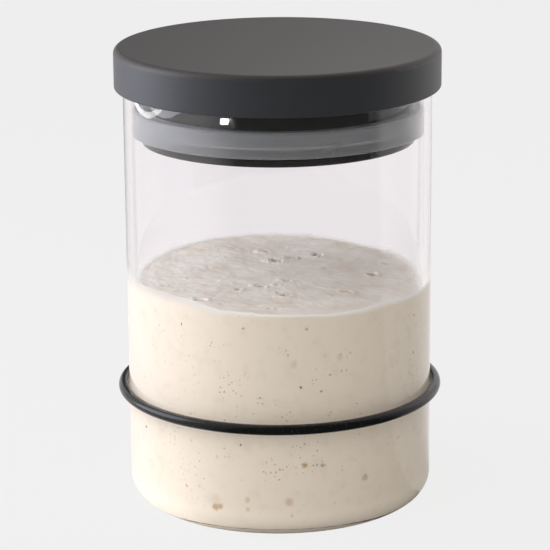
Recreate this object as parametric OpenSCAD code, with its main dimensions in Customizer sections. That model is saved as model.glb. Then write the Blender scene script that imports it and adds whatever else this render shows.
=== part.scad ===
// Glass jar for sourdough starter: straight glass, plug lid with a soft seal,
// and a rubber ring round the glass that marks where the dough started.
// Millimetres, +Z up, origin at the centre of the foot on the table.

/* [Glass] */
// Outside diameter of the glass tube
glass_d = 100; // [92:0.5:110]
// Height of the glass from the table to its rim
glass_h = 138; // [125:0.5:160]
// Wall of the glass tube
glass_wall = 2.5; // [2:0.1:3.5]
// Glass at the bottom, measured where it is flat
base_t = 3.2; // [2.6:0.1:5]
// Outside radius of the heel, where the wall turns into the foot
heel_r = 7.5; // [5:0.25:12]
// Height of the hollow pressed into the underside
punt_h = 0.8; // [0.4:0.1:1.4]
// Width of the flat ring that the jar stands on
foot_w = 8; // [4:0.5:12]
// Rounding that the flame leaves on each edge of the rim
rim_r = 1; // [0.4:0.05:1]

/* [Starter] */
// Height of the dough where it meets the glass
dough_level = 75; // [60:0.5:95]
// How much higher the dough stands in the middle
dough_crown = 0.8; // [0.3:0.1:3]
// Film between the dough and the glass
dough_gap = 0.05; // [0.02:0.01:0.2]
// Popped bubbles in the top of the dough
pit_count = 18; // [6:1:24]
// Radius of the largest bubble
pit_r = 3.2; // [2:0.1:4]
// Depth of the largest popped bubble
pit_depth = 0.9; // [0.4:0.1:1.2]

/* [Cap] */
// How far the cap stands out past the glass, all round
cap_overhang = 2.9; // [2.6:0.1:5]
// Height of the cap
cap_h = 13; // [10:0.5:18]
// Top and skirt of the moulded cap
cap_wall = 2.5; // [1.8:0.1:2.5]
// Rounding of the cap's upper edge
cap_top_r = 2; // [0.8:0.1:2.2]
// Rounding of the cap's lower edge
cap_foot_r = 0.5; // [0.3:0.1:1.2]
// Depth of the shallow dish in the top of the cap
dish_depth = 0.8; // [0.3:0.1:1]
// Width of the flat border between the dish and the rounded edge
dish_border = 0.6; // [0.2:0.1:3]
// Stiffening ribs under the top of the cap
rib_count = 12; // [6:1:16]
// Thickness of a rib
rib_t = 1.6; // [1.2:0.1:2.4]
// Outside radius of the round boss where the ribs meet
boss_r = 9; // [6:0.5:14]

/* [Plug] */
// Depth that the plug reaches into the glass
plug_depth = 17.2; // [16:0.1:22]
// Gap between the neck of the plug and the glass
neck_gap = 3.9; // [3:0.1:5]
// Gap between the bottom flange of the plug and the glass
flange_gap = 3; // [2:0.1:3.5]
// Thickness of the bottom flange
flange_t = 2.9; // [2.4:0.1:3.4]
// Wall of the moulded plug
plug_wall = 2.2; // [1.6:0.1:2.4]
// Depth of the groove that holds the seal, measured from the neck
groove_depth = 2.6; // [2:0.1:4]
// Thickness of the plate that closes the cap and rests on the rim
seat_t = 2.5; // [2:0.1:3]
// Clearance between the seat plate and the skirt of the cap
seat_gap = 0.15; // [0.05:0.05:0.3]

/* [Seal] */
// Height of the seal
seal_h = 8.1; // [6.5:0.1:8.5]
// Clearance between the seal and the flange below it
seal_rest = 0.25; // [0.1:0.05:0.4]
// Clearance between the seal and the shoulder above it
seal_headroom = 0.15; // [0.05:0.05:0.4]
// Clearance between the seal and the glass
seal_gap = 0.1; // [0.05:0.01:0.2]
// Clearance between the seal and the core of the plug
seal_bore_gap = 0.05; // [0.02:0.01:0.1]
// Thickness of the lip that wipes the glass
lip_t = 1.2; // [0.9:0.1:2]
// Thickness of the band that grips the plug
grip_t = 2; // [1.5:0.1:2.2]
// Solid foot of the seal, below its groove
seal_foot = 2.6; // [2:0.1:3.5]
// Rounding of the seal's outer edges
seal_edge_r = 0.6; // [0.3:0.1:0.8]

/* [Marker] */
// Thickness of the rubber ring
ring_t = 3.2; // [2.4:0.1:5]
// Height of the ring's centre, at the dough's starting level
ring_z = 37.7; // [25:0.1:60]
// Clearance between the ring and the glass
ring_gap = 0.3; // [0.2:0.05:0.5]

/* [Hidden] */
$fn = 128;

// How far a cut runs past the face that it opens
over = 1;
// Straight steps that draw a shallow dome from its middle to its edge
dome_steps = 8;

glass_r = glass_d / 2;
bore_r = glass_r - glass_wall;
inner_heel_r = heel_r - glass_wall;
foot_r = glass_r - heel_r - foot_w;

dough_r = bore_r - dough_gap;
golden_angle = 180 * (3 - sqrt(5));

cap_r = glass_r + cap_overhang;
cap_top = glass_h + cap_h;
skirt_r = cap_r - cap_wall;
seat_r = skirt_r - seat_gap;
seat_top = glass_h + seat_t;
dish_r = cap_r - cap_top_r - dish_border;
// How far the boss and the ribs run up into the top of the cap, so that they are one with it
rib_root = cap_wall / 5;
rib_h = cap_h - seat_t - cap_wall + rib_root;

plug_bottom = glass_h - plug_depth;
neck_r = bore_r - neck_gap;
flange_r = bore_r - flange_gap;
core_r = neck_r - groove_depth;
flange_edge_r = flange_t / 4;

seal_bottom = plug_bottom + flange_t + seal_rest;
shoulder_z = seal_bottom + seal_h + seal_headroom;
seal_r = bore_r - seal_gap;
seal_bore_r = core_r + seal_bore_gap;

ring_r = ring_t / 2;
ring_centre_r = glass_r + ring_gap + ring_r;

// Height of a shallow dome of radius r and height h, at a distance from its middle
function dome_z(r, h, away) = h * (1 - pow(away / r, 2));

// Half section of a shallow dome on the X axis, with a straight root below it
module dome_section(r, h, root) {
    arc = [for (i = [0:dome_steps]) [r * i / dome_steps, dome_z(r, h, r * i / dome_steps)]];
    polygon(concat([[0, -root]], arc, [[r, -root]]));
}

// What is cut from a square corner to round it, with the corner at the origin
module corner_cut(r) {
    translate([-r, -r]) difference() {
        square(r + over);
        circle(r);
    }
}

// Half section of a round block whose bottom and top outer edges are rounded
module rounded_section(r, z0, z1, bottom_r, top_r) {
    difference() {
        translate([0, z0]) square([r, z1 - z0]);
        translate([r, z0]) mirror([0, 1]) corner_cut(bottom_r);
        translate([r, z1]) corner_cut(top_r);
    }
}

// Half section of the space inside the glass, up to a height and a clearance from the wall
module bore_section(top, gap) {
    difference() {
        translate([0, base_t]) square([bore_r - gap, top - base_t]);
        translate([bore_r - gap, base_t]) mirror([0, 1]) corner_cut(inner_heel_r);
    }
}

module glass_jar() {
    color([0.86, 0.88, 0.88, 0.35]) rotate_extrude() difference() {
        rounded_section(glass_r, 0, glass_h, heel_r, rim_r);
        bore_section(glass_h + over, 0);
        translate([bore_r, glass_h]) mirror([1, 0]) corner_cut(rim_r);
        dome_section(foot_r, punt_h, over);
    }
}

// Places one popped bubble: they lie on a spiral that spreads them evenly
module dough_pit(i) {
    share = (i + 0.5) / pit_count;
    size = 0.55 + 0.45 * abs(cos(97 * i));
    r = pit_r * size;
    sink = pit_depth * size;
    away = (dough_r - 2 * pit_r) * sqrt(share);
    surface_z = dough_level + dome_z(dough_r, dough_crown, away);
    rotate(i * golden_angle) translate([away, 0, surface_z + r - sink]) sphere(r, $fn = 32);
}

module sourdough_starter() {
    color([0.90, 0.86, 0.78]) difference() {
        rotate_extrude() intersection() {
            bore_section(dough_level + dough_crown, dough_gap);
            translate([0, dough_level]) dome_section(dough_r, dough_crown, dough_level);
        }
        for (i = [0:pit_count - 1]) dough_pit(i);
    }
}

// Moulded shell with a dished top, and ribs that press on the seat plate of the plug
module lid_cap() {
    color([0.23, 0.24, 0.25]) {
        rotate_extrude() difference() {
            rounded_section(cap_r, glass_h, cap_top, cap_foot_r, cap_top_r);
            translate([0, glass_h - over]) square([skirt_r, cap_h - cap_wall + over]);
            translate([0, cap_top]) mirror([0, 1]) dome_section(dish_r, dish_depth, over);
        }
        rotate_extrude() translate([boss_r - rib_t, seat_top]) square([rib_t, rib_h]);
        for (i = [0:rib_count - 1]) rotate(i * 360 / rib_count) {
            translate([boss_r - rib_t / 2, -rib_t / 2, seat_top])
                cube([skirt_r - boss_r + rib_t, rib_t, rib_h]);
        }
    }
}

// Stepped cup, open at the top into the cap, with one wall thickness all through
module lid_plug() {
    color([0.20, 0.21, 0.22]) rotate_extrude() difference() {
        union() {
            rounded_section(flange_r, plug_bottom, plug_bottom + flange_t, flange_edge_r, flange_edge_r);
            translate([0, plug_bottom + flange_edge_r]) square([core_r, shoulder_z - plug_bottom]);
            translate([0, shoulder_z]) square([neck_r, glass_h - shoulder_z + over]);
            translate([0, glass_h]) square([seat_r, seat_t]);
        }
        translate([0, plug_bottom + plug_wall]) square([core_r - plug_wall, glass_h]);
        translate([0, shoulder_z + plug_wall]) square([neck_r - plug_wall, glass_h]);
    }
}

// Trough-shaped ring: a band that grips the plug, a lip that wipes the glass, and a solid foot
module lid_gasket() {
    trough_w = seal_r - lip_t - seal_bore_r - grip_t;
    trough_z = seal_bottom + seal_foot + trough_w / 2;
    color([0.62, 0.64, 0.66, 0.8]) rotate_extrude() difference() {
        rounded_section(seal_r, seal_bottom, seal_bottom + seal_h, seal_edge_r, seal_edge_r);
        translate([0, seal_bottom - over]) square([seal_bore_r, seal_h + 2 * over]);
        translate([seal_bore_r + grip_t, trough_z]) square([trough_w, seal_h]);
        translate([seal_bore_r + grip_t + trough_w / 2, trough_z]) circle(trough_w / 2, $fn = 48);
    }
}

module marker_band() {
    color([0.07, 0.07, 0.07]) translate([0, 0, ring_z]) rotate_extrude() {
        translate([ring_centre_r, 0]) circle(ring_r, $fn = 48);
    }
}

glass_jar();
sourdough_starter();
lid_cap();
lid_plug();
lid_gasket();
marker_band();
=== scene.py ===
import math

import bmesh
import bpy
from mathutils import Matrix, Vector, noise


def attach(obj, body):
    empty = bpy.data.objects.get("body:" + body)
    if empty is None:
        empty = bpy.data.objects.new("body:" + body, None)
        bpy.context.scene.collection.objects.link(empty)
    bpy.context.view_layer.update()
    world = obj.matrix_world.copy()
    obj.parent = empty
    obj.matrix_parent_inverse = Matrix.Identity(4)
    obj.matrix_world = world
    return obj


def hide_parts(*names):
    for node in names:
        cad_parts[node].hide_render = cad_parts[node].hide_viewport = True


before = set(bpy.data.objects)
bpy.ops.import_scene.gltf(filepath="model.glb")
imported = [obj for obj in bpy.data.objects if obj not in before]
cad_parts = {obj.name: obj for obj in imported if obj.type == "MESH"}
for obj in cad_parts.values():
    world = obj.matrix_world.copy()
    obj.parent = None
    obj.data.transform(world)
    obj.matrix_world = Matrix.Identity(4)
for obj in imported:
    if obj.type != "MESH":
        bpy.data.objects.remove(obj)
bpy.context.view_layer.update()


# Glass jar
# Borosilicate tube of 100 mm, closed at the bottom and pressed flat in a flame, with a wall of 2.5 mm.
# The fire rounds the heel inside and out and melts the cut rim to a smooth bead.
# It is colourless, and only long faint streaks along the tube show that it was drawn.

glass_r = 0.050
glass_h = 0.138
wall = 0.0025
bore_r = glass_r - wall
base_t = 0.0032
heel_r = 0.0075
inner_heel_r = heel_r - wall
rim_r = 0.001
# The flat ring that the jar stands on, and the shallow hollow inside that ring
foot_w = 0.008
hollow_r = glass_r - heel_r - foot_w
hollow_h = 0.0008
hollow_steps = 8
# Straight sides that draw a circle
around = 256
# Places that are nearer than this are the same place
same = 0.00001


def begin(name):
    """Names the primitive that was just added, brings its place into its mesh and opens it for editing."""
    piece = bpy.context.object
    piece.name = piece.data.name = name
    bpy.ops.object.transform_apply(location=True, rotation=True, scale=True)
    bpy.ops.object.mode_set(mode="EDIT")
    return piece


def pick(kind, test):
    """Selects only the vertices, edges or faces of the open mesh that pass a test."""
    bpy.ops.mesh.select_mode(type=kind)
    bpy.ops.mesh.select_all(action="DESELECT")
    mesh = bmesh.from_edit_mesh(bpy.context.object.data)
    for item in {"VERT": mesh.verts, "EDGE": mesh.edges, "FACE": mesh.faces}[kind]:
        if test(item):
            item.select_set(True)
    bmesh.update_edit_mesh(bpy.context.object.data)


def on_ring(radius, height):
    """A test for edges that lie on one circle round the jar's axis."""
    def test(edge):
        return all(abs(v.co.z - height) < same and abs(v.co.xy.length - radius) < same for v in edge.verts)
    return test


def cap_face(height):
    """A test for the one face that closes a round piece at a height."""
    def test(face):
        return len(face.verts) > 8 and abs(face.calc_center_median().z - height) < same
    return test


def round_ring(radius, height, size, steps):
    """Rounds the edge on one circle."""
    pick("EDGE", on_ring(radius, height))
    bpy.ops.mesh.bevel(offset=size, offset_type="OFFSET", segments=steps, profile=0.5, affect="EDGES")


def hollow_z(step):
    """Height of the hollow under the jar, some steps in from its edge."""
    return hollow_h * (1 - (1 - step / hollow_steps) ** 2)


bpy.ops.object.select_all(action="DESELECT")
bpy.ops.mesh.primitive_cylinder_add(
    vertices=around, radius=glass_r, depth=glass_h, location=(0, 0, glass_h / 2))
jar_glass = begin("clear_glass")
pick("FACE", cap_face(glass_h))
bpy.ops.mesh.inset(thickness=wall)
bpy.ops.mesh.extrude_region()
bpy.ops.transform.translate(value=(0, 0, base_t - glass_h))
round_ring(glass_r, 0, heel_r, steps=16)
round_ring(bore_r, base_t, inner_heel_r, steps=12)
round_ring(glass_r, glass_h, rim_r, steps=6)
round_ring(bore_r, glass_h, rim_r, steps=6)
pick("FACE", cap_face(0))
bpy.ops.mesh.inset(thickness=foot_w)
for step in range(1, hollow_steps):
    bpy.ops.mesh.inset(thickness=hollow_r / hollow_steps)
    bpy.ops.transform.translate(value=(0, 0, hollow_z(step) - hollow_z(step - 1)))
bpy.ops.mesh.select_all(action="SELECT")
bpy.ops.mesh.normals_make_consistent(inside=False)
bpy.ops.object.mode_set(mode="OBJECT")
bpy.ops.object.shade_smooth()
# Weighted normals keep the large faces true beside the narrow ones of the heel and the rim
bpy.ops.object.modifier_add(type="WEIGHTED_NORMAL")
jar_glass.modifiers[-1].weight = 80
bpy.ops.object.modifier_apply(modifier=jar_glass.modifiers[-1].name)


def linear(code):
    """An sRGB hex colour as the linear colour that a shader takes."""
    parts = [int(code[i:i + 2], 16) / 255 for i in (1, 3, 5)]
    return [c / 12.92 if c <= 0.04045 else ((c + 0.055) / 1.055) ** 2.4 for c in parts] + [1.0]


def add(tree, kind, settings, inputs):
    """Adds a node to a tree: settings are its own properties, inputs are numbers, colours or links.

    An input goes by its name, or by its number where its name isn't enough.
    """
    node = tree.nodes.new(kind)
    for key, value in settings.items():
        setattr(node, key, value)
    for key, value in inputs.items():
        if isinstance(value, bpy.types.NodeSocket):
            tree.links.new(value, node.inputs[key])
        else:
            node.inputs[key].default_value = value
    return node


def new_material(name):
    """An empty material with its output, ready for a shader."""
    material = bpy.data.materials.new(name)
    material.use_nodes = True
    tree = material.node_tree
    tree.nodes.clear()
    return material, tree, add(tree, "ShaderNodeOutputMaterial", {}, {})


# Drawn borosilicate: clear, mirror smooth, and lamps shine through it on to what it holds
drawn_glass, tree, output = new_material("drawn borosilicate glass")
place = add(tree, "ShaderNodeTexCoord", {}, {})
# Draw lines about 9 mm apart round the tube, and many times as long
stretch = add(tree, "ShaderNodeMapping", {}, {"Vector": place.outputs["Object"], "Scale": (110, 110, 4)})
lines = add(tree, "ShaderNodeTexNoise", {}, {
    "Vector": stretch.outputs["Vector"], "Scale": 1.0, "Detail": 2.0})
waves = add(tree, "ShaderNodeBump", {}, {
    "Height": lines.outputs["Fac"], "Distance": 0.00004, "Strength": 1.0})
clear = add(tree, "ShaderNodeBsdfPrincipled", {}, {
    "Base Color": linear("#FFFFFF"), "Roughness": 0.0, "IOR": 1.474, "Transmission Weight": 1.0,
    "Normal": waves.outputs["Normal"]})
path = add(tree, "ShaderNodeLightPath", {}, {})
open_air = add(tree, "ShaderNodeBsdfTransparent", {}, {})
by_daylight = add(tree, "ShaderNodeMixShader", {}, {
    0: path.outputs["Is Diffuse Ray"], 1: clear.outputs["BSDF"], 2: open_air.outputs["BSDF"]})
by_lamps = add(tree, "ShaderNodeMixShader", {}, {
    0: path.outputs["Is Shadow Ray"], 1: by_daylight.outputs["Shader"], 2: open_air.outputs["BSDF"]})
tree.links.new(by_lamps.outputs["Shader"], output.inputs["Surface"])
jar_glass.data.materials.append(drawn_glass)
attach(jar_glass, "jar")
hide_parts("glass_jar")


# Sourdough starter
# A wet dough of flour and water, poured in and left to rise, so it fills the glass up to 75 mm.
# Its skin has sunk at the right, is wrinkled and pocked, and clings to the glass all round, most at the left.
# Against the glass the dough is smooth, and shows bubbles that the wall has cut open.

dough_top = 0.0750
# The dough's mesh reaches a little way into the glass, because no air shows between the two
into_glass = 0.00015
dough_r = bore_r + into_glass
dough_floor = base_t - into_glass
dough_heel_r = inner_heel_r + into_glass
dough_around = 480
# The skin is drawn by rings round a small middle, and crowding above 1 brings them closer near the glass
rings = 96
crowding = 1.6
core_r = 0.0010
# Height of the band on the glass that holds the film left by the topmost dough
film_h = 0.0030
# Air is trapped in a thin ring where the dough's floor turns up. Its roof wavers from this radius outwards
air_from = 0.042
air_w = 0.0012
air_h = 0.00021

# Height of the skin's edge, of its crown, how far it has sunk at the right and how far it stands up behind
skin_h = 0.0745
crown = 0.0003
sunk_right = 0.0016
high_back = 0.0007
# Lumps and wrinkles in the skin: height and spacing in metres, and how much closer they lie front to back
wrinkles = [(0.00036, 0.0160, 1.0), (0.00026, 0.0070, 1.2), (0.00020, 0.0030, 1.2), (0.00010, 0.0013, 1.0)]
# Popped bubbles in the skin: place and radius, in mm
pocks = [
    (30.4, 0.8, 1.7), (32.6, 2.6, 1.2), (27.6, 1.4, 0.8), (21.6, -20.4, 1.6), (18.4, -16.6, 1.0),
    (2.6, -8.4, 1.3), (-0.6, -13.2, 1.0), (2.2, -25.4, 1.6), (0.2, -21.8, 0.9), (-12.9, -18.0, 1.2),
    (-6.2, -14.6, 1.5), (-15.8, 2.1, 0.8), (-23.6, 7.2, 1.1), (-29.8, -4.3, 0.8), (-37.1, -12.0, 0.8),
    (-32.2, -17.9, 1.0), (-3.5, -39.0, 1.2), (-24.6, -29.4, 1.6), (-4.7, 26.6, 1.6), (-1.0, 14.9, 2.0),
    (4.4, 18.6, 1.5), (12.9, 21.6, 1.8), (15.0, 6.9, 1.0), (36.0, 14.0, 1.1)]
# A popped bubble, in shares of its radius: its depth, its lip's height and distance, and where it ends
pock_depth = 0.60
lip_h = 0.26
lip_away = 1.15
pock_end = 2.5
# Depth in a popped bubble at which its painted shade is darkest
pit_shade_depth = 0.0004

# Height in mm up to which the dough clings to the glass, by direction in degrees from the right
cling = [
    (-180, 77.0), (-165, 77.2), (-155, 77.2), (-137, 77.7), (-129, 77.3), (-122, 76.6), (-115, 75.7),
    (-110, 75.2), (-101, 75.0), (-92, 74.6), (-82, 74.4), (-70, 74.0), (-58, 74.2), (-50, 74.9), (-44, 75.1),
    (-36, 74.6), (-22, 73.9), (-5, 74.4), (15, 75.2), (40, 75.8), (56, 76.4), (68, 77.0), (81, 77.6),
    (106, 77.8), (125, 77.3), (138, 77.7), (150, 77.0), (162, 77.4), (180, 77.0)]
# How far in mm the clinging edge reaches in from the glass
reach = [
    (-180, 4.4), (-160, 4.0), (-140, 3.4), (-120, 2.2), (-110, 1.2), (-90, 0.8), (-60, 0.7), (-45, 0.9),
    (-15, 2.0), (0, 3.6), (30, 4.0), (50, 3.2), (70, 2.4), (90, 2.2), (125, 2.2), (138, 3.2), (160, 3.6),
    (180, 4.4)]
# How far down in mm the topmost dough on the glass has thinned to a pale film
film_tall = [
    (-180, 5.0), (-150, 4.6), (-125, 4.0), (-108, 2.5), (-95, 1.6), (-80, 1.4), (-60, 2.2), (-48, 3.4),
    (-36, 2.8), (-20, 2.0), (0, 2.5), (40, 2.0), (150, 2.0), (180, 5.0)]
# How far the edge of that film fades out, where it is thinnest
fading = [(-180, 1.0), (-160, 0.9), (-148, 0.3), (-135, 0.0), (10, 0.0), (30, 0.6), (50, 1.0), (180, 1.0)]

# Clusters of pin bubbles: direction in degrees, height and radius in mm, and how thick they lie
clusters = [
    (-109, 49.5, 5.0, 0.9), (-80, 28.0, 7.0, 1.0), (-114, 27.5, 4.0, 0.9), (-92, 22.8, 5.0, 0.9),
    (-87, 41.0, 4.0, 0.8), (-67, 57.0, 6.0, 0.7), (-70, 41.5, 3.0, 0.8), (-122, 18.0, 4.0, 0.6),
    (-135, 32.0, 6.0, 0.5), (-58, 30.0, 4.0, 0.5), (-30, 45.0, 7.0, 0.7), (20, 25.0, 9.0, 0.8),
    (60, 55.0, 8.0, 0.8), (110, 33.0, 9.0, 0.9), (150, 50.0, 8.0, 0.8)]
# Larger bubbles that the glass has cut open: direction in degrees, height and radius in mm,
# and how tan they are
cut_bubbles = [
    (-115, 9.8, 1.6, 0.80), (-113, 10.3, 1.5, 0.85), (-118, 13.8, 0.7, 0.45), (-115, 12.2, 2.6, 0.15),
    (-102, 13.3, 1.4, 0.35), (-102, 10.2, 1.1, 0.45), (-86, 13.1, 1.8, 0.40), (-85, 8.3, 0.8, 0.55),
    (-80, 25.2, 1.2, 0.75), (-73, 24.7, 0.9, 0.75), (-95, 22.6, 0.7, 0.65), (-91, 23.0, 0.7, 0.65),
    (-55, 18.2, 1.5, 0.50), (-107, 24.4, 0.6, 0.60), (-114, 26.8, 1.0, 0.35), (-84, 58.6, 1.6, 0.22),
    (-66, 59.9, 1.4, 0.20), (-70, 54.7, 0.5, 0.70), (-79, 70.3, 0.7, 0.60), (70, 30.0, 1.8, 0.60),
    (120, 14.0, 1.3, 0.70), (20, 40.0, 1.1, 0.60), (165, 22.0, 1.4, 0.60)]


def by_direction(table, angle):
    """The value of a table at a direction, along straight lines from entry to entry."""
    degrees = math.degrees(angle)
    for (a, low), (b, high) in zip(table, table[1:]):
        if degrees <= b:
            return low + (high - low) * (degrees - a) / (b - a)
    return table[-1][1]


def ripple(x, y, size, seed):
    """Smooth noise from -1 to 1 whose lumps are about one size across."""
    return noise.noise(Vector((x / size, y / size, seed)))


def round_ripple(angle, waves, seed):
    """Smooth noise from -1 to 1 that changes with the direction alone, about so many times in a radian."""
    return noise.noise(Vector((waves * math.cos(angle), waves * math.sin(angle), seed)))


def whole_skin(x, y):
    """Height of the skin where nothing has popped."""
    across, along = x / bore_r, y / bore_r
    height = skin_h + crown * (1 - across * across - along * along)
    height += high_back * along - sunk_right * max(0.0, across) ** 2
    for seed, (tall, size, closer) in enumerate(wrinkles, start=1):
        height += tall * ripple(x, closer * y, size, seed)
    return height


def popped(x, y):
    """How deep the popped bubbles are at a point. Each is slanted and ragged, and has a low lip round it."""
    depth = 0.0
    for px, py, size in pocks:
        radius = size / 1000
        dx, dy = x - px / 1000, y - py / 1000
        away = math.hypot(0.8 * dx + 0.3 * dy, dy) / radius
        away *= 1 + 0.45 * ripple(x, y, 0.0011, px)
        if away < pock_end:
            lip = math.exp(-6 * (away - lip_away) ** 2) * (1 + ripple(x, y, 0.0016, py))
            depth += radius * (pock_depth * math.exp(-2.6 * away * away) - lip_h * lip)
    return depth


def at_air_ring(vertex):
    """A test for vertices of the dough's floor where it turns up."""
    on_floor = vertex.co.z < dough_floor + 0.02 * dough_heel_r
    return on_floor and vertex.co.xy.length > dough_r - dough_heel_r - air_w / 2


def spoke(edge):
    """A test for edges of the dough's top that run from the glass to its middle."""
    a, b = edge.verts
    on_top = abs(a.co.z - dough_top) < same and abs(b.co.z - dough_top) < same
    return on_top and abs(a.co.xy.length - b.co.xy.length) > dough_r / 2


bpy.ops.object.select_all(action="DESELECT")
bpy.ops.mesh.primitive_cylinder_add(
    vertices=dough_around, radius=dough_r, depth=dough_top - dough_floor,
    location=(0, 0, (dough_top + dough_floor) / 2))
dough = begin("wet_dough")
round_ring(dough_r, dough_floor, dough_heel_r, steps=12)
pick("FACE", cap_face(dough_floor))
bpy.ops.mesh.inset(thickness=air_w)
pick("VERT", at_air_ring)
bpy.ops.transform.translate(value=(0, 0, air_h))
bpy.ops.mesh.select_all(action="SELECT")
bpy.ops.mesh.bisect(plane_co=(0, 0, dough_top - film_h), plane_no=(0, 0, 1))
pick("EDGE", on_ring(dough_r, dough_top))
bpy.ops.mesh.mark_sharp()
pick("FACE", cap_face(dough_top))
bpy.ops.mesh.inset(thickness=dough_r - core_r)
pick("EDGE", spoke)
bpy.ops.mesh.subdivide(number_cuts=rings)
pick("FACE", cap_face(dough_top))
bpy.ops.mesh.poke()
bpy.ops.object.mode_set(mode="OBJECT")
bpy.ops.object.shade_smooth()

# The top takes the second material, the skin's
for face in dough.data.polygons:
    if face.normal.z > 0.5:
        face.material_index = 1
marks = dough.data.attributes
for name in ("sunk", "clung", "film", "fade"):
    marks.new(name, "FLOAT", "POINT")
for vertex in dough.data.vertices:
    x, y, z = vertex.co
    away = math.hypot(x, y)
    angle = math.atan2(y, x)
    if abs(z - dough_top + film_h) < same:
        vertex.co.z = (by_direction(cling, angle) - by_direction(film_tall, angle)) / 1000
    if away > air_from and z < dough_floor + 1.5 * air_h:
        vertex.co.z += 0.4 * air_h * noise.noise(Vector((300 * x, 300 * y, 9)))
    if z < dough_top - same or away < same:
        continue
    # The rings move outwards, so that they lie close together where the skin bends up to the glass
    share = min(1.0, max(0.0, (away - core_r) / (dough_r - core_r)))
    radius = core_r + (dough_r - core_r) * (1 - (1 - share) ** crowding) if share else away
    x, y = x * radius / away, y * radius / away
    width = by_direction(reach, angle) / 1000 * (1 + 0.3 * round_ripple(angle, 9, 5))
    edge = by_direction(cling, angle) / 1000
    edge += 0.00030 * round_ripple(angle, 14, 6) + 0.00018 * round_ripple(angle, 50, 8)
    depth = popped(x, y)
    skin = whole_skin(x, y) - depth
    part = min(1.0, max(0.0, 1 - (dough_r - radius) / width))
    # The clinging edge rises in a quarter of an ellipse
    vertex.co = (x, y, skin + (edge - skin) * (1 - math.sqrt(1 - part * part)))
    # The popped bubble's painted shade here grows with its depth
    marks["sunk"].data[vertex.index].value = min(1.0, max(0.0, depth / pit_shade_depth))
    marks["clung"].data[vertex.index].value = part
    marks["film"].data[vertex.index].value = 1.0 if share > 0.999 else 0.0
    marks["fade"].data[vertex.index].value = part * by_direction(fading, angle)
dough.data.update()


def on_wall(direction, height):
    """The point on the inside of the glass at a direction in degrees from the right and a height in mm."""
    turn = math.radians(direction)
    return bore_r * math.cos(turn), bore_r * math.sin(turn), height / 1000


def let_lamps_by(tree, output, shader, share):
    """Ends a material so that lamps shine through a share of it. Thin dough throws no shadow that shows."""
    path = add(tree, "ShaderNodeLightPath", {}, {})
    open_air = add(tree, "ShaderNodeBsdfTransparent", {}, {})
    let_by = add(tree, "ShaderNodeMath", {"operation": "MULTIPLY"}, {
        0: share, 1: path.outputs["Is Shadow Ray"]})
    by_lamps = add(tree, "ShaderNodeMixShader", {}, {
        0: let_by.outputs[0], 1: shader, 2: open_air.outputs["BSDF"]})
    tree.links.new(by_lamps.outputs["Shader"], output.inputs["Surface"])


# Wet flour dough: cream, dull, slightly see-through. Bubbles against the glass show as small tan pits
pressed_dough, tree, output = new_material("wet wheat dough on glass")
place = add(tree, "ShaderNodeTexCoord", {}, {})
# Bubbles are ragged by about 0.5 mm, in waves of 1 mm
rag = add(tree, "ShaderNodeTexNoise", {}, {"Vector": place.outputs["Object"], "Scale": 900.0, "Detail": 2.0})
ragged = add(tree, "ShaderNodeVectorMath", {"operation": "MULTIPLY_ADD"}, {
    0: rag.outputs["Color"], 1: (0.0012, 0.0012, 0.0012), 2: place.outputs["Object"]})
# Pin bubbles lie thicker in patches of about 12 mm, and in the clusters
patch = add(tree, "ShaderNodeTexNoise", {}, {"Vector": place.outputs["Object"], "Scale": 85.0, "Detail": 2.0})
crowd = add(tree, "ShaderNodeMapRange", {}, {
    "Value": patch.outputs["Fac"], "From Min": 0.52, "From Max": 0.72, "To Min": 0.05, "To Max": 0.7})
crowded = crowd.outputs["Result"]
for direction, height, size, strength in clusters:
    gap = add(tree, "ShaderNodeVectorMath", {"operation": "DISTANCE"}, {
        0: place.outputs["Object"], 1: on_wall(direction, height)})
    inside = add(tree, "ShaderNodeMapRange", {"interpolation_type": "SMOOTHSTEP"}, {
        "Value": gap.outputs["Value"], "From Min": 0.0005 * size, "From Max": 0.0013 * size,
        "To Min": strength, "To Max": 0.0})
    most = add(tree, "ShaderNodeMath", {"operation": "MAXIMUM"}, {0: crowded, 1: inside.outputs["Result"]})
    crowded = most.outputs[0]
# Pin bubbles of 0.2 to 0.4 mm, one cell every 1.3 mm, half of them with a bubble
pins = add(tree, "ShaderNodeTexVoronoi", {}, {"Vector": ragged.outputs["Vector"], "Scale": 760.0})
pin = add(tree, "ShaderNodeMapRange", {"interpolation_type": "SMOOTHSTEP"}, {
    "Value": pins.outputs["Distance"], "From Min": 0.08, "From Max": 0.34, "To Min": 0.85, "To Max": 0.0})
few = add(tree, "ShaderNodeSeparateColor", {}, {"Color": pins.outputs["Color"]})
chosen = add(tree, "ShaderNodeMath", {"operation": "LESS_THAN"}, {0: few.outputs["Red"], 1: 0.50})
pin_mask = add(tree, "ShaderNodeMath", {"operation": "MULTIPLY"}, {
    0: pin.outputs["Result"], 1: chosen.outputs[0]})
pin_here = add(tree, "ShaderNodeMath", {"operation": "MULTIPLY"}, {0: pin_mask.outputs[0], 1: crowded})
# Single bubbles of 0.5 to 0.8 mm, one cell every 6 mm, three in ten of them with a bubble
holes = add(tree, "ShaderNodeTexVoronoi", {}, {"Vector": ragged.outputs["Vector"], "Scale": 165.0})
hole = add(tree, "ShaderNodeMapRange", {"interpolation_type": "SMOOTHSTEP"}, {
    "Value": holes.outputs["Distance"], "From Min": 0.03, "From Max": 0.10, "To Min": 0.9, "To Max": 0.0})
rare = add(tree, "ShaderNodeSeparateColor", {}, {"Color": holes.outputs["Color"]})
picked = add(tree, "ShaderNodeMath", {"operation": "LESS_THAN"}, {0: rare.outputs["Red"], 1: 0.30})
hole_here = add(tree, "ShaderNodeMath", {"operation": "MULTIPLY"}, {
    0: hole.outputs["Result"], 1: picked.outputs[0]})
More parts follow.
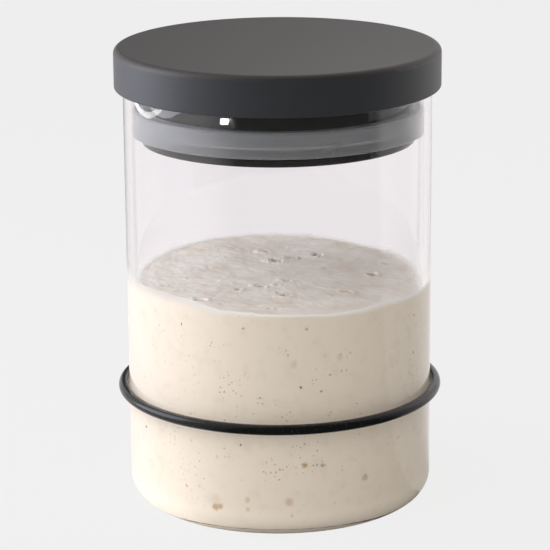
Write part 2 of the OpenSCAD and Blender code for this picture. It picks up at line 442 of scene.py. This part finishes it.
# Soft grey patches where bubbles lie just under the surface, about 4 mm across
veil = add(tree, "ShaderNodeTexNoise", {}, {"Vector": place.outputs["Object"], "Scale": 230.0, "Detail": 3.0})
veiled = add(tree, "ShaderNodeMapRange", {}, {
    "Value": veil.outputs["Fac"], "From Min": 0.52, "From Max": 0.78, "To Min": 0.0, "To Max": 0.3})
plain = add(tree, "ShaderNodeMix", {"data_type": "RGBA"}, {
    0: veiled.outputs["Result"], 6: linear("#E8DDCC"), 7: linear("#CEC2B0")})
with_pins = add(tree, "ShaderNodeMix", {"data_type": "RGBA"}, {
    0: pin_here.outputs[0], 6: plain.outputs[2], 7: linear("#9A7A56")})
marked = add(tree, "ShaderNodeMix", {"data_type": "RGBA"}, {
    0: hole_here.outputs[0], 6: with_pins.outputs[2], 7: linear("#7E6248")})
for direction, height, size, strength in cut_bubbles:
    gap = add(tree, "ShaderNodeVectorMath", {"operation": "DISTANCE"}, {
        0: ragged.outputs["Vector"], 1: on_wall(direction, height)})
    inside = add(tree, "ShaderNodeMapRange", {"interpolation_type": "SMOOTHSTEP"}, {
        "Value": gap.outputs["Value"], "From Min": 0.0004 * size, "From Max": 0.0011 * size,
        "To Min": strength, "To Max": 0.0})
    marked = add(tree, "ShaderNodeMix", {"data_type": "RGBA"}, {
        0: inside.outputs["Result"], 6: marked.outputs[2], 7: linear("#AE8C5C")})
# Painted light: the dough is drawn paler up to 12 mm above the table, where little light reaches its heel
height = add(tree, "ShaderNodeSeparateXYZ", {}, {"Vector": place.outputs["Object"]})
low = add(tree, "ShaderNodeMapRange", {"interpolation_type": "SMOOTHSTEP"}, {
    "Value": height.outputs["Z"], "From Min": 0.003, "From Max": 0.012, "To Min": 0.40, "To Max": 0.0})
painted_light_low = add(tree, "ShaderNodeMix", {"data_type": "RGBA"}, {
    0: low.outputs["Result"], 6: marked.outputs[2], 7: linear("#FFF8EC")})
# The topmost dough on the glass is a thin pale film that lamps shine through. It is greyer at the left, a
# painted shade that holds back the window's light there
filmy = add(tree, "ShaderNodeAttribute", {"attribute_name": "film"}, {})
faint = add(tree, "ShaderNodeMapRange", {"interpolation_type": "SMOOTHSTEP"}, {
    "Value": filmy.outputs["Fac"], "From Min": 0.15, "From Max": 0.90, "To Min": 0.0, "To Max": 0.85})
film_shade_fade = add(tree, "ShaderNodeMapRange", {}, {
    "Value": height.outputs["X"], "From Min": -0.036, "From Max": -0.006, "To Min": 0.0, "To Max": 1.0})
film_colour = add(tree, "ShaderNodeMix", {"data_type": "RGBA"}, {
    0: film_shade_fade.outputs["Result"], 6: linear("#CAC6BF"), 7: linear("#FCFBF9")})
filmed = add(tree, "ShaderNodeMix", {"data_type": "RGBA"}, {
    0: faint.outputs["Result"], 6: painted_light_low.outputs[2], 7: film_colour.outputs[2]})
body = add(tree, "ShaderNodeBsdfPrincipled", {}, {
    "Base Color": filmed.outputs[2], "Roughness": 0.8, "Specular IOR Level": 0.0})
open_air = add(tree, "ShaderNodeBsdfTransparent", {}, {})
# It fades out at its edge, and where it is seen from the jar's inside it isn't in the way
gone = add(tree, "ShaderNodeAttribute", {"attribute_name": "fade"}, {})
vanish = add(tree, "ShaderNodeMapRange", {"interpolation_type": "SMOOTHSTEP"}, {
    "Value": gone.outputs["Fac"], "From Min": 0.60, "From Max": 1.0, "To Min": 0.0, "To Max": 0.9})
facing = add(tree, "ShaderNodeNewGeometry", {}, {})
unseen = add(tree, "ShaderNodeMath", {"operation": "MAXIMUM"}, {
    0: vanish.outputs["Result"], 1: facing.outputs["Backfacing"]})
thinned = add(tree, "ShaderNodeMixShader", {}, {
    0: unseen.outputs[0], 1: body.outputs["BSDF"], 2: open_air.outputs["BSDF"]})
let_lamps_by(tree, output, thinned.outputs["Shader"], filmy.outputs["Fac"])
dough.data.materials.append(pressed_dough)

# The open skin of the dough: greyer than the rest, wet, with fine strings of gluten
dough_skin, tree, output = new_material("wet wheat dough skin")
place = add(tree, "ShaderNodeTexCoord", {}, {})
# Its tone drifts over about 9 mm
drift = add(tree, "ShaderNodeTexNoise", {}, {
    "Vector": place.outputs["Object"], "Scale": 110.0, "Detail": 4.0})
tone = add(tree, "ShaderNodeMapRange", {}, {
    "Value": drift.outputs["Fac"], "From Min": 0.36, "From Max": 0.66, "To Min": 0.0, "To Max": 1.0})
mottled = add(tree, "ShaderNodeMix", {"data_type": "RGBA"}, {
    0: tone.outputs["Result"], 6: linear("#FFF8EF"), 7: linear("#F3E7DA")})
# Popped bubbles are darker and browner the deeper they go, a painted shade in the pits, and the thin dough
# that clings to the glass is paler
depth = add(tree, "ShaderNodeAttribute", {"attribute_name": "sunk"}, {})
pit_shaded = add(tree, "ShaderNodeMix", {"data_type": "RGBA"}, {
    0: depth.outputs["Fac"], 6: mottled.outputs[2], 7: linear("#A9957E")})
edge = add(tree, "ShaderNodeAttribute", {"attribute_name": "clung"}, {})
thin = add(tree, "ShaderNodeMapRange", {"interpolation_type": "SMOOTHSTEP"}, {
    "Value": edge.outputs["Fac"], "From Min": 0.15, "From Max": 0.8, "To Min": 0.0, "To Max": 1.0})
skin_colour = add(tree, "ShaderNodeMix", {"data_type": "RGBA"}, {
    0: thin.outputs["Result"], 6: pit_shaded.outputs[2], 7: linear("#FAF6EE")})
# Strings of gluten and small bumps, 1 to 2 mm apart
pull = add(tree, "ShaderNodeMapping", {}, {"Vector": place.outputs["Object"], "Scale": (640, 760, 640)})
strings = add(tree, "ShaderNodeTexNoise", {}, {
    "Vector": pull.outputs["Vector"], "Scale": 1.0, "Detail": 5.0, "Roughness": 0.65})
bumps = add(tree, "ShaderNodeBump", {}, {
    "Height": strings.outputs["Fac"], "Distance": 0.0004, "Strength": 0.6})
wet = add(tree, "ShaderNodeBsdfPrincipled", {}, {
    "Base Color": skin_colour.outputs[2], "Roughness": 0.45, "Specular IOR Level": 0.4,
    "Normal": bumps.outputs["Normal"]})
# At the left the window shines through the clinging edge
lit_through = add(tree, "ShaderNodeBsdfTranslucent", {}, {"Color": linear("#FFFAF4")})
across = add(tree, "ShaderNodeSeparateXYZ", {}, {"Vector": place.outputs["Object"]})
at_left = add(tree, "ShaderNodeMapRange", {}, {
    "Value": across.outputs["X"], "From Min": -0.042, "From Max": -0.030, "To Min": 0.5, "To Max": 0.0})
half = add(tree, "ShaderNodeMath", {"operation": "MULTIPLY"}, {
    0: thin.outputs["Result"], 1: at_left.outputs["Result"]})
see_through = add(tree, "ShaderNodeMixShader", {}, {
    0: half.outputs[0], 1: wet.outputs["BSDF"], 2: lit_through.outputs["BSDF"]})
gone = add(tree, "ShaderNodeAttribute", {"attribute_name": "fade"}, {})
vanish = add(tree, "ShaderNodeMapRange", {"interpolation_type": "SMOOTHSTEP"}, {
    "Value": gone.outputs["Fac"], "From Min": 0.30, "From Max": 0.97, "To Min": 0.0, "To Max": 0.97})
open_air = add(tree, "ShaderNodeBsdfTransparent", {}, {})
thinned = add(tree, "ShaderNodeMixShader", {}, {
    0: vanish.outputs["Result"], 1: see_through.outputs["Shader"], 2: open_air.outputs["BSDF"]})
let_lamps_by(tree, output, thinned.outputs["Shader"], thin.outputs["Result"])
dough.data.materials.append(dough_skin)
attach(dough, "jar")
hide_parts("sourdough_starter")


# Lid: cap, plug and seal
# The cap is moulded from charcoal polypropylene with a fine matt grain, and is dished on top.
# The plug is a gloss black spool of the same plastic, and the seal is a soft ring of clear grey silicone.
# All three are the CAD's own pieces, and get only their finish here.

# The cap's top is drawn browner from this height up, and fully so a millimetre higher
browner_from = 0.1490
browner_to = 0.1500
# Where dough was scraped off on the rim, and how far flour dust lies round it
scraped = (0.015, -0.045, 0.128)
dust_near = 0.003
dust_far = 0.010


def dress(name, material):
    """Gives a CAD piece one material in place of its plain one."""
    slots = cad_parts[name].data.materials
    slots.clear()
    slots.append(material)


cap_plastic, tree, output = new_material("spark grained polypropylene")
place = add(tree, "ShaderNodeTexCoord", {}, {})
# The real grain of about 0.1 mm is too fine to show, so it is drawn at 0.5 mm
grain = add(tree, "ShaderNodeTexNoise", {}, {
    "Vector": place.outputs["Object"], "Scale": 2000.0, "Detail": 3.0})
relief = add(tree, "ShaderNodeBump", {}, {
    "Height": grain.outputs["Fac"], "Distance": 0.00006, "Strength": 0.8})
# Its tone clouds over about 17 mm
cloud = add(tree, "ShaderNodeTexNoise", {}, {"Vector": place.outputs["Object"], "Scale": 60.0, "Detail": 3.0})
shade = add(tree, "ShaderNodeMix", {"data_type": "RGBA"}, {
    0: cloud.outputs["Fac"], 6: linear("#2B2E33"), 7: linear("#313438")})
# The top is a little browner than the skirt
height = add(tree, "ShaderNodeSeparateXYZ", {}, {"Vector": place.outputs["Object"]})
top = add(tree, "ShaderNodeMapRange", {}, {
    "Value": height.outputs["Z"], "From Min": browner_from, "From Max": browner_to,
    "To Min": 0.0, "To Max": 1.0})
browner_top = add(tree, "ShaderNodeMix", {"data_type": "RGBA"}, {
    0: top.outputs["Result"], 6: shade.outputs[2], 7: linear("#302C2A")})
matt = add(tree, "ShaderNodeBsdfPrincipled", {}, {
    "Base Color": browner_top.outputs[2], "Roughness": 0.475, "Specular IOR Level": 0.46, "Sheen Weight": 0.05,
    "Sheen Roughness": 0.4, "Normal": relief.outputs["Normal"]})
tree.links.new(matt.outputs["BSDF"], output.inputs["Surface"])
dress("lid_cap", cap_plastic)

# Polished mould steel leaves the plug glossy, with a faint flow of the plastic every 3 mm
plug_plastic, tree, output = new_material("gloss moulded polypropylene")
place = add(tree, "ShaderNodeTexCoord", {}, {})
flow = add(tree, "ShaderNodeTexNoise", {}, {"Vector": place.outputs["Object"], "Scale": 300.0, "Detail": 2.0})
relief = add(tree, "ShaderNodeBump", {}, {
    "Height": flow.outputs["Fac"], "Distance": 0.00002, "Strength": 0.4})
gloss = add(tree, "ShaderNodeBsdfPrincipled", {}, {
    "Base Color": linear("#232422"), "Roughness": 0.04, "IOR": 1.49, "Normal": relief.outputs["Normal"]})
tree.links.new(gloss.outputs["BSDF"], output.inputs["Surface"])
dress("lid_plug", plug_plastic)

# Silicone lets some light through, shines softly, and its tone changes over about 6 mm
silicone, tree, output = new_material("moulded translucent silicone")
place = add(tree, "ShaderNodeTexCoord", {}, {})
cloud = add(tree, "ShaderNodeTexNoise", {}, {
    "Vector": place.outputs["Object"], "Scale": 160.0, "Detail": 3.0})
shade = add(tree, "ShaderNodeMix", {"data_type": "RGBA"}, {
    0: cloud.outputs["Fac"], 6: linear("#E6EAEE"), 7: linear("#F0F2F4")})
# It holds a little flour dust, at most one speck every 0.9 mm, and most where dough was scraped off
dust = add(tree, "ShaderNodeTexVoronoi", {}, {"Vector": place.outputs["Object"], "Scale": 1100.0})
speck = add(tree, "ShaderNodeMapRange", {"interpolation_type": "SMOOTHSTEP"}, {
    "Value": dust.outputs["Distance"], "From Min": 0.05, "From Max": 0.24, "To Min": 1.0, "To Max": 0.0})
dusty = add(tree, "ShaderNodeMapRange", {}, {
    "Value": cloud.outputs["Fac"], "From Min": 0.54, "From Max": 0.66, "To Min": 0.0, "To Max": 0.7})
gap = add(tree, "ShaderNodeVectorMath", {"operation": "DISTANCE"}, {0: place.outputs["Object"], 1: scraped})
near = add(tree, "ShaderNodeMapRange", {"interpolation_type": "SMOOTHSTEP"}, {
    "Value": gap.outputs["Value"], "From Min": dust_near, "From Max": dust_far, "To Min": 1.0, "To Max": 0.0})
dustier = add(tree, "ShaderNodeMath", {"operation": "MAXIMUM"}, {
    0: dusty.outputs["Result"], 1: near.outputs["Result"]})
dust_here = add(tree, "ShaderNodeMath", {"operation": "MULTIPLY"}, {
    0: speck.outputs["Result"], 1: dustier.outputs[0]})
clear_grey = add(tree, "ShaderNodeBsdfPrincipled", {}, {
    "Base Color": shade.outputs[2], "Roughness": 0.45, "IOR": 1.43, "Specular IOR Level": 1.0,
    "Transmission Weight": 0.85, "Sheen Weight": 1.0, "Sheen Roughness": 0.30})
flour = add(tree, "ShaderNodeBsdfPrincipled", {}, {"Base Color": linear("#E8E6E0"), "Roughness": 0.9})
soft = add(tree, "ShaderNodeMixShader", {}, {
    0: dust_here.outputs[0], 1: clear_grey.outputs["BSDF"], 2: flour.outputs["BSDF"]})
tree.links.new(soft.outputs["Shader"], output.inputs["Surface"])
dress("lid_gasket", silicone)


# Marker ring
# A round cord of black nitrile rubber, moulded as a ring and stretched on to the glass,
# which presses its inner side flat. Nothing else holds it.

ring_r = 0.0016
ring_gap = 0.0003
ring_centre_r = glass_r + ring_gap + ring_r
ring_z = 0.0377
# The pressed side stops just short of the glass. It is round at a flatness of 1, and flatter below that
ring_inside_r = glass_r + 0.00003
flatness = 0.55

bpy.ops.object.select_all(action="DESELECT")
bpy.ops.mesh.primitive_torus_add(
    major_segments=around, minor_segments=40, major_radius=ring_centre_r, minor_radius=ring_r,
    location=(0, 0, ring_z))
marker = begin("marker_ring")
bpy.ops.object.mode_set(mode="OBJECT")
for vertex in marker.data.vertices:
    away = vertex.co.xy.length
    if away < ring_centre_r:
        pressed = min(1.0, (ring_centre_r - away) / ring_r) ** flatness
        radius = ring_centre_r - (ring_centre_r - ring_inside_r) * pressed
        vertex.co.x *= radius / away
        vertex.co.y *= radius / away
bpy.ops.object.shade_smooth()

rubber, tree, output = new_material("black nitrile rubber")
place = add(tree, "ShaderNodeTexCoord", {}, {})
# Bloom and handling leave the skin rough at about 0.6 mm, with a little pale dust
bloom = add(tree, "ShaderNodeTexNoise", {}, {
    "Vector": place.outputs["Object"], "Scale": 1700.0, "Detail": 3.0})
relief = add(tree, "ShaderNodeBump", {}, {
    "Height": bloom.outputs["Fac"], "Distance": 0.00010, "Strength": 0.8})
dust = add(tree, "ShaderNodeMapRange", {}, {
    "Value": bloom.outputs["Fac"], "From Min": 0.60, "From Max": 0.74, "To Min": 0.0, "To Max": 0.6})
shade = add(tree, "ShaderNodeMix", {"data_type": "RGBA"}, {
    0: dust.outputs["Result"], 6: linear("#101111"), 7: linear("#3E4040")})
black = add(tree, "ShaderNodeBsdfPrincipled", {}, {
    "Base Color": shade.outputs[2], "Roughness": 0.10, "IOR": 1.38, "Normal": relief.outputs["Normal"]})
tree.links.new(black.outputs["BSDF"], output.inputs["Surface"])
marker.data.materials.append(rubber)
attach(marker, "band")
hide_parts("marker_band")


# Studio
# A pale floor that runs on behind, a tall soft window at the left, a panel at the right, and a dark front.
# A small far lamp and a low strip make the sharp glint and the streak below the lid at the left.

floor_r = 6.0
# The window's light pools on the table beside the jar: its middle, its bright core and its edge
pool_place = (-0.050, -0.026, 0)
pool_core = 0.012
pool_edge = 0.046
# Tints of the background seen through the glass, and of the room in gloss
through_glass = linear("#F3EEF1")
room_tint = linear("#FBF7F8")


def room_tone(tree, way):
    """How bright the room looks in gloss, by direction from the jar: dark in front, pale beside and behind.

    A direction's slope is how far it goes back for each step aside. It is below 0 in front of the jar.
    """
    part = add(tree, "ShaderNodeSeparateXYZ", {}, {"Vector": way})
    aside = add(tree, "ShaderNodeMath", {"operation": "ABSOLUTE"}, {0: part.outputs["X"]})
    wide = add(tree, "ShaderNodeMath", {"operation": "MAXIMUM"}, {0: aside.outputs[0], 1: 0.0001})
    slope = add(tree, "ShaderNodeMath", {"operation": "DIVIDE"}, {0: part.outputs["Y"], 1: wide.outputs[0]})
    left = add(tree, "ShaderNodeMapRange", {"interpolation_type": "SMOOTHSTEP"}, {
        "Value": slope.outputs[0], "From Min": -1.80, "From Max": -0.35, "To Min": 0.08, "To Max": 0.93})
    # Straight behind, a little to the left, the room is dark again, which gives the glass its dark left edge
    door = add(tree, "ShaderNodeMapRange", {}, {
        "Value": slope.outputs[0], "From Min": 3.0, "From Max": 4.5, "To Min": 1.0, "To Max": 0.15})
    beside = add(tree, "ShaderNodeMath", {"operation": "MULTIPLY"}, {
        0: left.outputs["Result"], 1: door.outputs["Result"]})
    dim = add(tree, "ShaderNodeMapRange", {"interpolation_type": "SMOOTHSTEP"}, {
        "Value": slope.outputs[0], "From Min": -0.24, "From Max": -0.18, "To Min": 0.08, "To Max": 0.55})
    bright = add(tree, "ShaderNodeMapRange", {"interpolation_type": "SMOOTHSTEP"}, {
        "Value": slope.outputs[0], "From Min": 0.15, "From Max": 0.80, "To Min": 0.0, "To Max": 0.40})
    right = add(tree, "ShaderNodeMath", {"operation": "ADD"}, {
        0: dim.outputs["Result"], 1: bright.outputs["Result"]})
    at_right = add(tree, "ShaderNodeMath", {"operation": "GREATER_THAN"}, {0: part.outputs["X"], 1: 0.0})
    tone = add(tree, "ShaderNodeMix", {"data_type": "FLOAT"}, {
        0: at_right.outputs[0], 2: beside.outputs[0], 3: right.outputs[0]})
    return tone.outputs[0]


def in_sight(tree, path):
    """Whether a ray comes from the camera, straight or through the glass."""
    seen = add(tree, "ShaderNodeMath", {"operation": "MAXIMUM"}, {
        0: path.outputs["Is Camera Ray"], 1: path.outputs["Is Transmission Ray"]})
    return seen.outputs[0]


def in_gloss(tree, path):
    """Whether a ray was mirrored on its way, and isn't soft light."""
    mirrored = add(tree, "ShaderNodeMath", {"operation": "GREATER_THAN"}, {
        0: path.outputs["Glossy Depth"], 1: 0.5})
    shine = add(tree, "ShaderNodeMath", {"operation": "SUBTRACT"}, {
        0: mirrored.outputs[0], 1: path.outputs["Is Diffuse Ray"]})
    return shine.outputs[0]


bpy.ops.mesh.primitive_circle_add(vertices=96, radius=floor_r, fill_type="NGON", location=(0, 0, 0))
floor = bpy.context.object
floor.name = floor.data.name = "floor"
paper, tree, output = new_material("pale paper")
path = add(tree, "ShaderNodeLightPath", {}, {})
place = add(tree, "ShaderNodeTexCoord", {}, {})
# What lights the jar from below: plain paper, and the pool, which shines up on to its heel
lit = add(tree, "ShaderNodeBsdfDiffuse", {}, {"Color": linear("#E6E6E6")})
gap = add(tree, "ShaderNodeVectorMath", {"operation": "DISTANCE"}, {
    0: place.outputs["Object"], 1: pool_place})
pool = add(tree, "ShaderNodeMapRange", {"interpolation_type": "SMOOTHSTEP"}, {
    "Value": gap.outputs["Value"], "From Min": pool_core, "From Max": pool_edge,
    "To Min": 0.45, "To Max": 0.0})
pooled = add(tree, "ShaderNodeMath", {"operation": "MULTIPLY"}, {
    0: pool.outputs["Result"], 1: path.outputs["Is Diffuse Ray"]})
bounce = add(tree, "ShaderNodeEmission", {}, {"Color": linear("#FFF9F2"), "Strength": pooled.outputs[0]})
table = add(tree, "ShaderNodeAddShader", {}, {0: lit.outputs["BSDF"], 1: bounce.outputs["Emission"]})
# What the camera sees: mostly the background's own colour, with a little of the jar's shadow
through = add(tree, "ShaderNodeMix", {"data_type": "RGBA"}, {
    0: path.outputs["Is Transmission Ray"], 6: linear("#EFEFEF"), 7: through_glass})
glow = add(tree, "ShaderNodeEmission", {}, {"Color": through.outputs[2], "Strength": 1.02})
pale = add(tree, "ShaderNodeMixShader", {}, {0: 0.94, 1: lit.outputs["BSDF"], 2: glow.outputs["Emission"]})
by_sight = add(tree, "ShaderNodeMixShader", {}, {
    0: in_sight(tree, path), 1: table.outputs["Shader"], 2: pale.outputs["Shader"]})
mirror = add(tree, "ShaderNodeEmission", {}, {
    "Color": room_tint, "Strength": room_tone(tree, place.outputs["Object"])})
surface = add(tree, "ShaderNodeMixShader", {}, {
    0: in_gloss(tree, path), 1: by_sight.outputs["Shader"], 2: mirror.outputs["Emission"]})
tree.links.new(surface.outputs["Shader"], output.inputs["Surface"])
floor.data.materials.append(paper)

world = bpy.data.worlds.new("studio")
bpy.context.scene.world = world
world.use_nodes = True
tree = world.node_tree
tree.nodes.clear()
output = add(tree, "ShaderNodeOutputWorld", {}, {})
path = add(tree, "ShaderNodeLightPath", {}, {})
way = add(tree, "ShaderNodeTexCoord", {}, {})
fill = add(tree, "ShaderNodeBackground", {}, {"Color": linear("#FAF6F2"), "Strength": 0.53})
through = add(tree, "ShaderNodeMix", {"data_type": "RGBA"}, {
    0: path.outputs["Is Transmission Ray"], 6: linear("#EEEEEE"), 7: through_glass})
sky = add(tree, "ShaderNodeBackground", {}, {"Color": through.outputs[2], "Strength": 1.0})
by_sight = add(tree, "ShaderNodeMixShader", {}, {
    0: in_sight(tree, path), 1: fill.outputs["Background"], 2: sky.outputs["Background"]})
mirror = add(tree, "ShaderNodeBackground", {}, {
    "Color": room_tint, "Strength": room_tone(tree, way.outputs["Generated"])})
surface = add(tree, "ShaderNodeMixShader", {}, {
    0: in_gloss(tree, path), 1: by_sight.outputs["Shader"], 2: mirror.outputs["Background"]})
tree.links.new(surface.outputs["Shader"], output.inputs["Surface"])


def soft_light(name, place, aim, size, power, tint):
    """A rectangular soft light that points at a place. Its size is in metres and its power in watts."""
    bpy.ops.object.light_add(type="AREA", location=place)
    lamp = bpy.context.object
    lamp.name = name
    lamp.rotation_euler = (Vector(aim) - Vector(place)).to_track_quat("-Z", "Y").to_euler()
    lamp.data.shape = "RECTANGLE"
    lamp.data.size, lamp.data.size_y = size
    lamp.data.energy = power
    lamp.data.color = linear(tint)[:3]
    return lamp


window = soft_light("left window", (-0.50, 0.05, 0.345), (0, 0.05, 0.345), (0.42, 0.62), 3.25, "#EFF0FF")
panel = soft_light("right panel", (0.58, 0.295, 0.30), (0, 0, 0.30), (0.50, 0.58), 0.4, "#FFFCF8")
below_lid = (0, 0, 0.137)
glint = soft_light("far lamp", (-0.274, -0.357, 0.0490), below_lid, (0.045, 0.003), 0.014, "#FFFFFF")
streak = soft_light("far strip", (-0.423, 0.154, 0.0445), below_lid, (0.52, 0.003), 0.030, "#FFFFFF")
room_light = soft_light("room light", (-0.55, -0.85, 0.62), (0, 0, 0.07), (1.20, 1.00), 4.5, "#FFFCF8")
# The two far lamps only make reflections, and the room light makes none
glint.visible_diffuse = False
streak.visible_diffuse = False
room_light.visible_glossy = False
# These would show through the glass from the side
for light in (window, panel, streak, room_light):
    light.visible_transmission = False

# The camera's place, and how far it looks down and leans, in radians
eye = (0, -0.84197, 0.30794)
look_down = 0.271
lean = -0.007
# Pixels of the photograph: its width, the camera's focal length and the column that it looks at
photo_w = 550
focal_px = 2650.3
axis_px = 278.936
sensor_mm = 36

bpy.ops.object.camera_add(location=eye)
camera = bpy.context.object
camera.matrix_world = (
    Matrix.Translation(eye)
    @ Matrix.Rotation(math.radians(90) - look_down, 4, "X") @ Matrix.Rotation(lean, 4, "Z"))
camera.data.sensor_width = sensor_mm
camera.data.lens = focal_px / photo_w * sensor_mm
camera.data.shift_x = (photo_w / 2 - axis_px) / photo_w
# Far enough to take in the floor
camera.data.clip_end = 30
bpy.context.scene.camera = camera
bpy.context.scene.view_settings.view_transform = "Standard"
